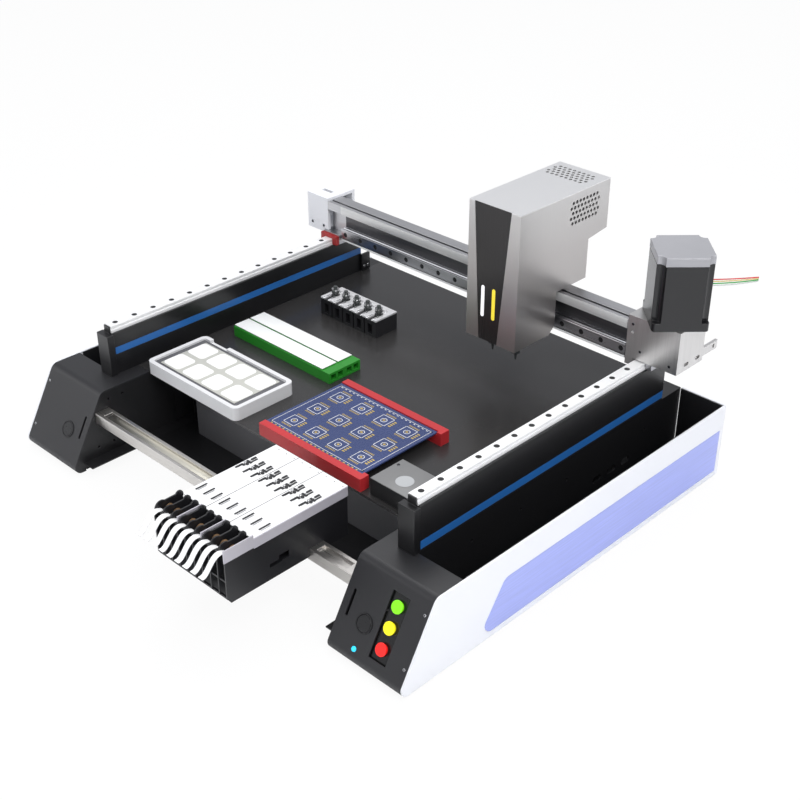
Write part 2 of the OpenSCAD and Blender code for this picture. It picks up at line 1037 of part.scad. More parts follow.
module head_insert()
{
    color([0.2, 0.19, 0.19])
        placed()
            translate([0, head_y + 0.05, 0])
                difference() {
                    along_y(0, 0.5)
                        intersection() {
                            insert_shape(0.2);
                            translate([0, head_low + 0.3])
                                square([200, head_top - head_low - 0.6]);
                        }
                    for (x = [77.1, 91.6])
                        translate([x, 0, 184.5])
                            rotate([90, 0, 0])
                                linear_extrude(height = 4, center = true)
                                    round_rect(4.6, 36, 2.2);
                }
}

module head_lights()
{
    color([0.98, 0.98, 0.9])
        placed()
            for (x = [77.1, 91.6])
                translate([x, head_y + 0.6, 184.5])
                    rotate([90, 0, 0])
                        linear_extrude(height = 0.9)
                            round_rect(4.1, 35.4, 2);
}

module head_slider()
{
    color([0.5, 0.5, 0.52])
        placed()
            difference() {
                union() {
                    slab([head_x + 4, 312.5, 141], [head_x + head_w - 4, 315.4, 187.3]);
                    slab([head_x + 12, 315.3, 143], [head_x + head_w - 12, 325.9, 162]);
                }
                slab([head_x, gantry_y - 0.3, 120], [head_x + head_w, 340, gantry_z + 15.3]);
            }
}

module quill(side)
{
    translate([head_mid + side * nozzle_pitch / 2, head_y + 24, 0])
        difference() {
            translate([0, 0, 137])
                cylinder(r = 5, h = 60);
            translate([0, 0, 130])
                cylinder(r = 2.05, h = 40);
        }
}

module tip(side)
{
    translate([head_mid + side * nozzle_pitch / 2, head_y + 24, 0]) {
        translate([0, 0, 136.9 - 20])
            cylinder(r1 = 0.8, r2 = 2, h = 9);
        translate([0, 0, 136.9 - 11])
            cylinder(r1 = 5.4, r2 = 3.4, h = 10.9);
        translate([0, 0, 136.8])
            cylinder(r = 2, h = 30);
    }
}

module left_quill()
{
    color([0.2, 0.2, 0.21])
        placed()
            quill(-1);
}

module right_quill()
{
    color([0.2, 0.2, 0.21])
        placed()
            quill(1);
}

module left_nozzle()
{
    color([0.1, 0.1, 0.11])
        placed()
            tip(-1);
}

module right_nozzle()
{
    color([0.1, 0.1, 0.11])
        placed()
            tip(1);
}

// ---- motor wires ----

// Round cord of radius r swept through the points of a list.
module cord(pts, r)
{
    n = len(pts);
    k = 8;
    rings = [for (i = [0 : n - 1])
        let (d = unit(pts[min(i + 1, n - 1)] - pts[max(i - 1, 0)]))
        let (u = unit(cross(d, [0, 0, 1])), v = cross(d, u))
        for (j = [0 : k - 1]) pts[i] + r * (cos(j * 360 / k) * u + sin(j * 360 / k) * v)];
    polyhedron(points = rings, faces = concat(
        [[for (j = [k - 1 : -1 : 0]) j]],
        [[for (j = [0 : k - 1]) (n - 1) * k + j]],
        [for (i = [0 : n - 2]) for (j = [0 : k - 1])
            [i * k + j, i * k + (j + 1) % k, (i + 1) * k + (j + 1) % k, (i + 1) * k + j]]));
}

// Point along a wire that starts at the motor and drifts apart from its neighbours.
function wire_point(t, k) =
    [248 + motor_w * 0.35355 + 35 * t, 343 + motor_w * 0.35355 + 35 * t, 230 + 3.5 * t * t + k * (2.2 - 0.8 * t * t)];

module wire(k)
{
    placed()
        cord([for (i = [0 : 14]) wire_point(i / 14, k)], 0.6);
}

module red_wire()
{
    color([0.8, 0.1, 0.1])
        wire(1.5);
}

module yellow_wire()
{
    color([0.85, 0.8, 0.2])
        wire(0.5);
}

module green_wire()
{
    color([0.1, 0.6, 0.15])
        wire(-0.5);
}

module white_wire()
{
    color([0.9, 0.9, 0.9])
        wire(-1.5);
}

left_cover();
right_cover();
inner_walls();
left_side_panel();
right_side_panel();
blue_inserts();
base_floors();
feet();
y_beams();
blue_strips();
y_rails();
end_blocks();
deck();
electronics_box();
front_bar();
feeder_frame();
feeder_plates();
feeder_lip();
feeder_guides();
feeder_rollers();
feeder_tapes();
part_tray();
tray_pads();
stick_feeders();
stick_lids();
changer_block();
changer_plate();
changer_nozzles();
front_clamp();
rear_clamp();
circuit_board();
camera_box();
camera_lens();
button_plate();
green_button();
yellow_button();
red_button();
left_black_button();
right_black_button();
status_led();
y_carriages();
carriage_seals();
gantry_beam();
gantry_rail();
left_end_box();
right_bracket();
motor();
motor_cap();
head_cover();
head_insert();
head_lights();
head_slider();
left_quill();
right_quill();
left_nozzle();
right_nozzle();
red_wire();
yellow_wire();
green_wire();
white_wire();
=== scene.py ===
import json
import math

import bmesh
import bpy
from mathutils import Matrix, Vector

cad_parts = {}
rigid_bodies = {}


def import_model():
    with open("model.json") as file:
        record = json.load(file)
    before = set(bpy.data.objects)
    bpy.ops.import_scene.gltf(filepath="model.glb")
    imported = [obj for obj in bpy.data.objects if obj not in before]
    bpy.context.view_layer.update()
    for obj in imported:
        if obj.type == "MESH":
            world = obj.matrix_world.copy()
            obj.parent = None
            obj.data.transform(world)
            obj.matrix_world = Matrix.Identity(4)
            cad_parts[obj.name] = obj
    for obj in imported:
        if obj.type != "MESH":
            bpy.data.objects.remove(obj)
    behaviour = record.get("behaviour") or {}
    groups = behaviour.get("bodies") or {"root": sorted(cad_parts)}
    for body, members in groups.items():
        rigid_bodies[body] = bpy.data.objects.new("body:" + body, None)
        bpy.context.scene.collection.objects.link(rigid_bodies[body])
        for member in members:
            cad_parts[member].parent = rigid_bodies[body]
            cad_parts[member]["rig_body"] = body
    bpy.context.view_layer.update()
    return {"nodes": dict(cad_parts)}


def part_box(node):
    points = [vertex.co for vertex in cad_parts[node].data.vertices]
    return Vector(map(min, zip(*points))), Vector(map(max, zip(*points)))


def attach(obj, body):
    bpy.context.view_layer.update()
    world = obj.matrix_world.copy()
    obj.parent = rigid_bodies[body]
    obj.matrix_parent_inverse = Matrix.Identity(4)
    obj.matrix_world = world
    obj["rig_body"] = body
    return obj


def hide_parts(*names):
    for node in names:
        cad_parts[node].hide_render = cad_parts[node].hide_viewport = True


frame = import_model()

# ---------------------------------------------------------------- places
MM = 0.001
Y_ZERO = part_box("y_rails")[0].y + 10 * MM
Z_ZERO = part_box("left_side_panel")[0].z
RAIL_MID = 226.4
FEEDER_LEFT = 41.5
FEEDER_SKIN = 109.32
LANE = 11.05
LANES = 9
FIRST_HOLDER = -157.5
HOLDER_PITCH = 18
STICK_PITCH = 23.1
MOTOR_AT = (248, 343)
# radius of the dark discs painted as shade in the rail holes
HOLE_SHADE_RADIUS = 2.95 * MM


def at(x, y, z):
    """Point given in millimetres from the first rail screw and the bottom of the housings."""
    return Vector((x * MM, Y_ZERO + y * MM, Z_ZERO + z * MM))


# ---------------------------------------------------------------- camera
AZIMUTH = math.radians(44.41)
ELEVATION = math.radians(30.76)
back = Vector((
    math.sin(AZIMUTH) * math.cos(ELEVATION),
    -math.cos(AZIMUTH) * math.cos(ELEVATION),
    math.sin(ELEVATION),
))
camera_data = bpy.data.cameras.new("camera")
camera_data.lens = 59.594
camera_data.sensor_width = 36
camera = bpy.data.objects.new("camera", camera_data)
camera.location = at(-4.06, 209.2, 48.0) + back * 1.46136
camera.rotation_euler = (-back).to_track_quat("-Z", "Y").to_euler()
bpy.context.scene.collection.objects.link(camera)
bpy.context.scene.camera = camera


# ---------------------------------------------------------------- materials
def material(name, color, rough=0.5, metal=0.0, vary=0.06, rough_vary=0.08, grain=None, bump=0.0,
             coat=0.0, stretch=(1, 1, 1), spec=0.5, emit=0.0):
    """Procedural finish: a colour and a roughness that drift a little, and a fine grain as bump."""
    m = bpy.data.materials.new(name)
    m.use_nodes = True
    nodes, links = m.node_tree.nodes, m.node_tree.links
    shader = nodes["Principled BSDF"]
    shader.inputs["Metallic"].default_value = metal
    shader.inputs["Coat Weight"].default_value = coat
    shader.inputs["Coat Roughness"].default_value = 0.08
    shader.inputs["Specular IOR Level"].default_value = spec
    coords = nodes.new("ShaderNodeTexCoord")
    mapping = nodes.new("ShaderNodeMapping")
    mapping.inputs["Scale"].default_value = stretch
    links.new(coords.outputs["Object"], mapping.inputs["Vector"])
    drift = nodes.new("ShaderNodeTexNoise")
    drift.inputs["Scale"].default_value = 14
    drift.inputs["Detail"].default_value = 5
    links.new(mapping.outputs["Vector"], drift.inputs["Vector"])
    tint = nodes.new("ShaderNodeValToRGB")
    tint.color_ramp.elements[0].position = 0.3
    tint.color_ramp.elements[1].position = 0.7
    tint.color_ramp.elements[0].color = [c * (1 - vary) for c in color] + [1]
    tint.color_ramp.elements[1].color = [min(1, c * (1 + vary)) for c in color] + [1]
    links.new(drift.outputs["Fac"], tint.inputs["Fac"])
    links.new(tint.outputs["Color"], shader.inputs["Base Color"])
    fine = nodes.new("ShaderNodeTexNoise")
    fine.inputs["Scale"].default_value = grain or 400
    fine.inputs["Detail"].default_value = 3
    links.new(mapping.outputs["Vector"], fine.inputs["Vector"])
    spread = nodes.new("ShaderNodeMapRange")
    spread.inputs["To Min"].default_value = max(0.02, rough - rough_vary)
    spread.inputs["To Max"].default_value = min(1, rough + rough_vary)
    links.new(fine.outputs["Fac"], spread.inputs["Value"])
    links.new(spread.outputs["Result"], shader.inputs["Roughness"])
    if bump:
        relief = nodes.new("ShaderNodeBump")
        relief.inputs["Strength"].default_value = bump
        relief.inputs["Distance"].default_value = 0.0004
        links.new(fine.outputs["Fac"], relief.inputs["Height"])
        links.new(relief.outputs["Normal"], shader.inputs["Normal"])
    if emit:
        links.new(tint.outputs["Color"], shader.inputs["Emission Color"])
        shader.inputs["Emission Strength"].default_value = emit
    return m


def brushed(name, color, rough, along, **rest):
    """Metal or film with fine lines along one axis."""
    stretch = [60 if i != along else 1.2 for i in range(3)]
    return material(name, color, rough, grain=14, bump=0.12, stretch=stretch, **rest)


def graded(m, axis, low, high, stops, rough=None):
    """Lets the colour of a finish run along one axis, from low to high in row-frame metres."""
    nodes, links = m.node_tree.nodes, m.node_tree.links
    coords = nodes.new("ShaderNodeTexCoord")
    split = nodes.new("ShaderNodeSeparateXYZ")
    links.new(coords.outputs["Object"], split.inputs["Vector"])
    run = nodes.new("ShaderNodeMapRange")
    run.inputs["From Min"].default_value = low
    run.inputs["From Max"].default_value = high
    links.new(split.outputs[axis], run.inputs["Value"])
    ramp = nodes.new("ShaderNodeValToRGB")
    while len(ramp.color_ramp.elements) < len(stops):
        ramp.color_ramp.elements.new(0.5)
    for i, (place, color) in enumerate(stops):
        ramp.color_ramp.elements[i].position = place
        ramp.color_ramp.elements[i].color = list(color) + [1]
    links.new(run.outputs["Result"], ramp.inputs["Fac"])
    links.new(ramp.outputs["Color"], nodes["Principled BSDF"].inputs["Base Color"])
    return m


BLACK = material("black_powder_coat", (0.016, 0.016, 0.018), 0.42, grain=1500, bump=0.06)
WALL = material("black_inner_sheet", (0.012, 0.012, 0.013), 0.4, grain=1200, bump=0.05)
DECK = material("deck_dark_film", (0.03, 0.029, 0.029), 0.26, rough_vary=0.03, grain=900, bump=0.015)
LINER = material("trough_liner", (0.006, 0.006, 0.007), 0.5, grain=900, bump=0.03)
WHITE = material("white_powder_coat", (0.8, 0.81, 0.84), 0.38, vary=0.01, grain=1500, bump=0.04)
BLUE = brushed("blue_brushed_panel", (0.36, 0.41, 0.8), 0.42, 1, vary=0.08, metal=0.15)
TROUGH = material("trough_dark_sheet", (0.008, 0.008, 0.009), 0.42, grain=900, bump=0.04)
RUBBER = material("rubber", (0.015, 0.015, 0.015), 0.8, grain=900, bump=0.2)
ANODISED = material("black_anodised", (0.01, 0.01, 0.011), 0.3, rough_vary=0.03, grain=1800, bump=0.01)
STRIP = material("blue_strip", (0.02, 0.13, 0.4), 0.35, grain=600, bump=0.03)
RAIL = material("ground_rail_steel", (0.9, 0.9, 0.9), 0.35, metal=0.25, vary=0.02, rough_vary=0.03,
                grain=900, bump=0.01)
RAIL_X = brushed("ground_rail_steel_x", (0.55, 0.55, 0.57), 0.3, 0, metal=1.0, vary=0.05)
BOX = material("grey_box_sheet", (0.09, 0.09, 0.095), 0.4, grain=700, bump=0.05)
BAR = brushed("bar_aluminium", (0.6, 0.58, 0.55), 0.3, 0, metal=1.0, vary=0.05)
FRAME_BLACK = material("feeder_black_plastic", (0.012, 0.012, 0.014), 0.38, grain=900, bump=0.06)
PLATE = material("feeder_white_plate", (0.85, 0.85, 0.85), 0.45, vary=0.01, grain=900, bump=0.02)
LIP = material("feeder_lip_aluminium", (0.55, 0.53, 0.58), 0.4, metal=0.3, vary=0.04, grain=900, bump=0.05)
BROWN = material("roller_rubber", (0.16, 0.09, 0.04), 0.55, vary=0.2, grain=500, bump=0.2)
TAPE = material("cover_tape", (0.88, 0.88, 0.88), 0.5, vary=0.01, grain=700, bump=0.02)
TRAY = material("tray_plastic", (0.72, 0.72, 0.73), 0.42, vary=0.02, grain=900, bump=0.05)
TRAY_DARK = material("tray_floor_dark", (0.1, 0.1, 0.11), 0.5, grain=700, bump=0.05)
PAD = material("tray_pad", (0.86, 0.86, 0.84), 0.6, vary=0.015, grain=500, bump=0.06)
PAD_FRAME = material("tray_pad_frame", (0.5, 0.5, 0.46), 0.6, vary=0.02, grain=500, bump=0.05)
GREEN = material("green_plastic", (0.02, 0.25, 0.02), 0.35, vary=0.08, grain=700, bump=0.05)
LID = material("white_plastic", (0.86, 0.87, 0.86), 0.4, vary=0.01, grain=700, bump=0.03)
CHANGER = material("changer_black", (0.014, 0.014, 0.016), 0.38, grain=900, bump=0.08)
STEEL = brushed("changer_steel", (0.72, 0.72, 0.73), 0.35, 0, metal=0.4, vary=0.03)
DARK_STEEL = material("dark_steel", (0.08, 0.08, 0.09), 0.3, metal=1.0, grain=900, bump=0.05)
BRIGHT = material("bright_steel", (0.7, 0.7, 0.71), 0.22, metal=1.0, vary=0.04, grain=900, bump=0.03)
TIP = material("nozzle_black", (0.045, 0.05, 0.05), 0.32, grain=900, bump=0.04)
RED = material("clamp_red", (0.5, 0.025, 0.03), 0.32, vary=0.06, grain=900, bump=0.05)
BOARD = material("board_blue", (0.035, 0.055, 0.16), 0.28, vary=0.12, grain=500, bump=0.04)
GOLD = material("board_gold", (0.62, 0.46, 0.16), 0.35, metal=0.7, vary=0.08, grain=600, bump=0.03)
INK = material("board_ink", (0.8, 0.8, 0.8), 0.6, vary=0.02, grain=600, bump=0.03)
CAMERA_BOX = material("camera_box_black", (0.014, 0.014, 0.015), 0.35, grain=900, bump=0.03)
CAMERA_TOP = material("camera_box_top", (0.2, 0.2, 0.2), 0.35, vary=0.03, rough_vary=0.03,
                      grain=900, bump=0.01)
# painted highlight: a pale, faintly glowing disc over the lens
LENS_SPOT_PAINTED_HIGHLIGHT = material("camera_spot_painted_highlight", (0.4, 0.41, 0.42), 0.2, vary=0.01, grain=300, emit=0.15)
LENS = material("lens_glass", (0.06, 0.06, 0.07), 0.06, coat=0.6, rough_vary=0.02, grain=300)
PANEL = material("button_plate_black", (0.012, 0.012, 0.012), 0.2, grain=900, bump=0.02)
CAP_GREEN = material("cap_green", (0.22, 0.86, 0.004), 0.3, vary=0.03, coat=0.4, emit=0.25)
CAP_YELLOW = material("cap_yellow", (0.95, 0.85, 0.004), 0.3, vary=0.03, coat=0.4, emit=0.25)
CAP_RED = material("cap_red", (0.9, 0.01, 0.006), 0.3, vary=0.03, coat=0.4, emit=0.25)
CAP_BLACK = material("cap_black", (0.008, 0.008, 0.009), 0.3, vary=0.1, grain=900, bump=0.03)
LED = material("status_cyan", (0.03, 0.55, 0.8), 0.3, vary=0.03, emit=0.6)
CARRIAGE = brushed("carriage_steel", (0.45, 0.45, 0.47), 0.32, 1, metal=1.0, vary=0.06)
SEAL = material("seal_red", (0.35, 0.01, 0.01), 0.4, vary=0.08, grain=900, bump=0.05)
BEAM = brushed("beam_aluminium", (0.5, 0.5, 0.51), 0.34, 0, metal=1.0, vary=0.05)
# painted highlight: a brighter copy of the beam aluminium for the front of its upper lip
BEAM_LIP_PAINTED_HIGHLIGHT = brushed("beam_lip_painted_highlight", (0.66, 0.66, 0.65), 0.4, 0, metal=0.4, vary=0.04)
# painted shade: a dark copy of the beam aluminium for the bottom of its recess
BEAM_RECESS_PAINTED_SHADE = brushed("beam_recess_painted_shade", (0.1, 0.1, 0.105), 0.36, 0, metal=0.8, vary=0.1)
BRACKET = brushed("bracket_steel", (0.62, 0.61, 0.6), 0.32, 2, metal=0.9, vary=0.05)
MOTOR = material("motor_black", (0.008, 0.008, 0.009), 0.22, vary=0.08, rough_vary=0.03,
                 grain=700, bump=0.02)
MOTOR_END = material("motor_end_grey", (0.4, 0.4, 0.42), 0.42, metal=0.5, vary=0.05, grain=500, bump=0.1)
HEAD_STEEL_PAINTED_LIGHT = brushed("head_steel_painted_light", (0.6, 0.59, 0.57), 0.34, 2, metal=0.85, vary=0.06)
INSERT = brushed("head_insert_dark", (0.03, 0.028, 0.028), 0.24, 2, metal=0.4, vary=0.12)
LIGHT_WHITE = material("light_white", (0.9, 0.9, 0.92), 0.3, vary=0.01, emit=0.5)
LIGHT_YELLOW = material("light_yellow", (0.9, 0.72, 0.05), 0.3, vary=0.02, emit=0.4)
QUILL = material("quill_dark_steel", (0.05, 0.05, 0.055), 0.28, metal=1.0, grain=900, bump=0.03)
WIRES = {
    "red_wire": material("wire_red", (0.6, 0.02, 0.02), 0.4, vary=0.05),
    "yellow_wire": material("wire_yellow", (0.7, 0.55, 0.2), 0.4, vary=0.05),
    "green_wire": material("wire_green", (0.02, 0.35, 0.05), 0.4, vary=0.05),
    "white_wire": material("wire_white", (0.6, 0.62, 0.6), 0.4, vary=0.03),
}


# ---------------------------------------------------------------- mesh helpers
def piece(name, bm, body, finish, smooth=35):
    """Makes an object of a bmesh, shades it smooth below an angle, and lets it ride on a body."""
    mesh = bpy.data.meshes.new(name)
    bmesh.ops.recalc_face_normals(bm, faces=bm.faces)
    bm.to_mesh(mesh)
    bm.free()
    for m in finish if isinstance(finish, (list, tuple)) else [finish]:
        mesh.materials.append(m)
    o = bpy.data.objects.new(name, mesh)
    bpy.context.scene.collection.objects.link(o)
    shade(mesh, smooth)
    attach(o, body)
    return o


def shade(mesh, angle):
    """Smooth shading with sharp edges above an angle in degrees."""
    for p in mesh.polygons:
        p.use_smooth = True
    bm = bmesh.new()
    bm.from_mesh(mesh)
    limit = math.radians(angle)
    for e in bm.edges:
        if len(e.link_faces) == 2:
            e.smooth = e.calc_face_angle(0) < limit
    bm.to_mesh(mesh)
    bm.free()


def add_box(bm, lo, hi, bevel=0.0, turn=None, index=0):
    """Box between two corners in metres, with rounded edges."""
    lo, hi = Vector(lo), Vector(hi)
    size = hi - lo
    got = bmesh.ops.create_cube(bm, size=1, matrix=Matrix.Translation((lo + hi) / 2) @ Matrix.Diagonal(
        (abs(size.x), abs(size.y), abs(size.z), 1)))
    verts = got["verts"]
    faces = {f for v in verts for f in v.link_faces}
    if bevel:
        edges = {e for v in verts for e in v.link_edges}
        limit = min(abs(size.x), abs(size.y), abs(size.z)) * 0.45
        made = bmesh.ops.bevel(bm, geom=list(edges), offset=min(bevel, limit), segments=2,
                               affect="EDGES", profile=0.5)
        verts = list({v for f in made["faces"] for v in f.verts} | {v for v in verts if v.is_valid})
        faces = {f for v in verts for f in v.link_faces}
    for f in faces:
        f.material_index = index
    if turn:
        bmesh.ops.transform(bm, matrix=turn, verts=verts)
    return verts


def add_cylinder(bm, start, end, r0, r1=None, segments=32, index=0, bevel=0.0):
    """Cylinder or cone between two points in metres."""
    start, end = Vector(start), Vector(end)
    axis = end - start
    r1 = r0 if r1 is None else r1
    turn = axis.to_track_quat("Z", "Y").to_matrix().to_4x4()
    length = axis.length
    bevel = min(bevel, length * 0.4, r0 * 0.4, r1 * 0.4)
    rings = [(0, r0 - bevel), (bevel, r0), (length - bevel, r1), (length, r1 - bevel)] if bevel else [
        (0, r0), (length, r1)]
    place = Matrix.Translation(start) @ turn
    loops = []
    for z, r in rings:
        loops.append([
            bm.verts.new(place @ Vector((r * math.cos(a), r * math.sin(a), z)))
            for a in (2 * math.pi * i / segments for i in range(segments))])
    made = [bm.faces.new(loops[0][::-1]), bm.faces.new(loops[-1])]
    for a, b in zip(loops, loops[1:]):
        for i in range(segments):
            k = (i + 1) % segments
            made.append(bm.faces.new((a[i], a[k], b[k], b[i])))
    for f in made:
        f.material_index = index
    return [v for ring in loops for v in ring]


def add_ring(bm, start, end, outer, inner, segments=40, index=0):
    """Washer or tube between two points in metres."""
    start, end = Vector(start), Vector(end)
    axis = end - start
    place = Matrix.Translation(start) @ axis.to_track_quat("Z", "Y").to_matrix().to_4x4()
    loops = []
    for z, r in ((0, outer), (axis.length, outer), (axis.length, inner), (0, inner)):
        loops.append([
            bm.verts.new(place @ Vector((r * math.cos(a), r * math.sin(a), z)))
            for a in (2 * math.pi * i / segments for i in range(segments))])
    for a, b in zip(loops, loops[1:] + loops[:1]):
        for i in range(segments):
            k = (i + 1) % segments
            bm.faces.new((a[i], a[k], b[k], b[i])).material_index = index


def dress(node, finish, bevel=0.3, body=None, segments=2, name=None, angle=30):
    """A softened copy of a CAD node: flat faces are joined and its sharp edges get a small round."""
    source = frame["nodes"][node]
    bm = bmesh.new()
    bm.from_mesh(source.data)
    bmesh.ops.remove_doubles(bm, verts=bm.verts, dist=1e-6)
    bmesh.ops.dissolve_limit(bm, angle_limit=math.radians(0.6), verts=bm.verts, edges=bm.edges)
    o = piece(name or node + "_skin", bm, body or source["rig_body"], finish)
    if bevel:
        soft = o.modifiers.new("soft_edges", "BEVEL")
        soft.width = bevel * MM
        soft.segments = segments
        soft.limit_method = "ANGLE"
        soft.angle_limit = math.radians(angle)
        soft.harden_normals = True
    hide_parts(node)
    return o


def screw(bm, centre, normal, radius=2.6 * MM, height=1.2 * MM, index=0, socket_shade=1):
    """Socket head screw: a rounded head with a dark hexagon on top, painted shade standing in for the socket
    recess.
    """
    centre, normal = Vector(centre), Vector(normal).normalized()
    add_cylinder(bm, centre, centre + normal * height, radius, segments=24, index=index, bevel=0.25 * MM)
    top = centre + normal * height
    add_cylinder(bm, top - normal * 0.05 * MM, top + normal * 0.06 * MM, radius * 0.52, segments=6,
                 index=socket_shade)


# ---------------------------------------------------------------- motor wires, laid first
def wire_route(step):
    """Points of one motor wire in row-frame metres; step is its place in the row of four."""
    flat = 56.4 * 0.35355
    return [at(MOTOR_AT[0] + flat + 35 * t, MOTOR_AT[1] + flat + 35 * t,
               230 + 3.5 * t * t + step * (2.2 - 0.8 * t * t))
            for t in (i / 14 for i in range(15))]


def tube(name, points, radius, finish, body, sides=10):
    bm = bmesh.new()
    rings = []
    for i, p in enumerate(points):
        d = (points[min(i + 1, len(points) - 1)] - points[max(i - 1, 0)]).normalized()
        u = d.cross(Vector((0, 0, 1))).normalized()
        v = d.cross(u)
        rings.append([bm.verts.new(p + radius * (math.cos(a) * u + math.sin(a) * v))
                      for a in (2 * math.pi * k / sides for k in range(sides))])
    for a, b in zip(rings, rings[1:]):
        for i in range(sides):
            k = (i + 1) % sides
            bm.faces.new((a[i], a[k], b[k], b[i]))
    bm.faces.new(rings[0][::-1])
    bm.faces.new(rings[-1])
    return piece(name, bm, body, finish)


for wire_node, step in (("red_wire", 1.5), ("yellow_wire", 0.5), ("green_wire", -0.5), ("white_wire", -1.5)):
    route = wire_route(step)
    lead = tube(wire_node + "_lead", route, 0.6 * MM, WIRES[wire_node], "gantry")
    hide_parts(wire_node)

# ---------------------------------------------------------------- housings
dress("left_cover", BLACK, 0.35)
dress("right_cover", BLACK, 0.35)
dress("inner_walls", WALL, 0.25)
dress("left_side_panel", WHITE, 0.35)
dress("right_side_panel", WHITE, 0.35)
dress("blue_inserts", BLUE, 0.3)
dress("base_floors", TROUGH, 0.25)
dress("feet", RUBBER, 0.4)
dress("y_beams", ANODISED, 0.35)
dress("blue_strips", STRIP, 0.15)
dress("y_rails", RAIL, 0.2)
dress("end_blocks", ANODISED, 0.6)
dress("deck", DECK, 0.3)
dress("electronics_box", BOX, 0.3)
dress("front_bar", BAR, 0.4)

# ---------------------------------------------------------------- feeders
dress("feeder_frame", FRAME_BLACK, 0.2)
dress("feeder_plates", PLATE, 0.15)
dress("feeder_lip", LIP, 0.3)
dress("feeder_guides", FRAME_BLACK, 0.3)
dress("feeder_rollers", BROWN, 0.4)
dress("feeder_tapes", TAPE, 0.0)

# ---------------------------------------------------------------- work area
dress("part_tray", TRAY, 0.8, segments=3)
dress("tray_pads", PAD, 0.5)
dress("stick_feeders", GREEN, 0.3)
dress("stick_lids", LID, 0.3)
dress("changer_block", CHANGER, 0.3)
dress("changer_plate", STEEL, 0.2)
dress("changer_nozzles", TIP, 0.3)
dress("front_clamp", RED, 0.5)
dress("rear_clamp", RED, 0.5)
dress("circuit_board", BOARD, 0.15)
dress("camera_box", CAMERA_BOX, 0.5)
dress("camera_lens", LENS, 0.3)

# ---------------------------------------------------------------- controls
dress("button_plate", PANEL, 0.2)
dress("green_button", CAP_GREEN, 0.4)
dress("yellow_button", CAP_YELLOW, 0.4)
dress("red_button", CAP_RED, 0.4)
dress("left_black_button", CAP_BLACK, 0.6)
dress("right_black_button", CAP_BLACK, 0.6)
dress("status_led", LED, 0.3)

# ---------------------------------------------------------------- gantry
dress("y_carriages", CARRIAGE, 0.4)
dress("carriage_seals", SEAL, 0.3)
dress("gantry_beam", BEAM, 0.3)
dress("gantry_rail", RAIL_X, 0.2)
dress("left_end_box", WHITE, 0.5)
dress("right_bracket", BRACKET, 0.3)
dress("motor", MOTOR, 0.5)
dress("motor_cap", MOTOR_END, 0.6)

# ---------------------------------------------------------------- head
# painted light on the head cover: the brushed steel is painted darker towards the bottom as shade and
# lighter upwards, with a near-white painted highlight along the top edge
dress("head_cover", graded(HEAD_STEEL_PAINTED_LIGHT, "Z", Z_ZERO + 140 * MM, Z_ZERO + 292 * MM, (
    (0.0, (0.36, 0.34, 0.33)), (0.6, (0.48, 0.46, 0.45)),
    (0.985, (0.6, 0.59, 0.58)), (1.0, (0.93, 0.93, 0.93)))), 0.8, segments=3)
dress("head_insert", INSERT, 0.1)
bars = dress("head_lights", LIGHT_WHITE, 0.2)
bars.data.materials.append(LIGHT_YELLOW)
for face in bars.data.polygons:
    if face.center.x > at(84, 0, 0).x:
        face.material_index = 1
dress("head_slider", CARRIAGE, 0.4)
dress("left_quill", QUILL, 0.3)
dress("right_quill", QUILL, 0.3)
dress("left_nozzle", TIP, 0.2)
dress("right_nozzle", TIP, 0.2)


# ---------------------------------------------------------------- pieces the plain solids lack
def plate(name, lo, hi, finish, body="base", bevel=0.1):
    """A box between two corners given in millimetres."""
    bm = bmesh.new()
    add_box(bm, at(*lo), at(*hi), bevel * MM)
    return piece(name, bm, body, finish)


# black lining of the side channels, and the wall and flange that run on below the deck
plate("right_panel_liner", (287.0, -8, 3), (287.9, 392, 84.6), LINER)
plate("left_panel_liner", (-287.9, -8, 3), (-287.0, 392, 84.6), LINER)
plate("right_rear_liner", (236, 391.6, 3), (286.9, 392.6, 84.6), LINER)
plate("left_rear_liner", (-286.9, 391.6, 3), (-236, 392.6, 84.6), LINER)
plate("left_wall_run", (-199.3, 46.1, 3), (-197.7, 392, 81.9), LINER)
plate("left_flange_run", (-197.6, 46.1, 9.2), (-182.6, 392, 10.4), LINER)
plate("left_box_return", (-182.4, 60, 10.6), (-181, 370, 81.8), LINER)

# tray floor, pad frame, and the darker film below the pads
plate("tray_floor", (-192, 20.6, 97.9), (-54, 90.4, 98.3), TRAY_DARK)
plate("tray_frame", (-185, 24.5, 98.35), (-61, 86.5, 98.9), PAD_FRAME)

# camera box top with its seam, screw, and a lens spot that is a painted highlight with a faint glow
plate("camera_top", (140.3, 22.3, 103.35), (195.7, 65.7, 103.8), CAMERA_TOP)
bm = bmesh.new()
add_cylinder(bm, at(168, 40, 103.82), at(168, 40, 104.1), 9 * MM, segments=40, bevel=0.1 * MM)
piece("camera_spot_painted_highlight", bm, "base", LENS_SPOT_PAINTED_HIGHLIGHT)
bm = bmesh.new()
screw(bm, at(144, 56, 103.82), (0, 0, 1), radius=1.6 * MM, height=0.5 * MM)
piece("camera_top_screw", bm, "base", [DARK_STEEL, LINER])

# artwork of the circuit board: outlines, rings, and rows of pads
BOARD_TOP = 98.52
ink = bmesh.new()
gold = bmesh.new()


def outline(x0, y0, x1, y1, line=0.5):
    """Four thin printed lines round a rectangle."""
    for a, b in (((x0, y0), (x1, y0 + line)), ((x0, y1 - line), (x1, y1)),
                 ((x0, y0), (x0 + line, y1)), ((x1 - line, y0), (x1, y1))):
        add_box(ink, at(a[0], a[1], BOARD_TOP), at(b[0], b[1], BOARD_TOP + 0.06))


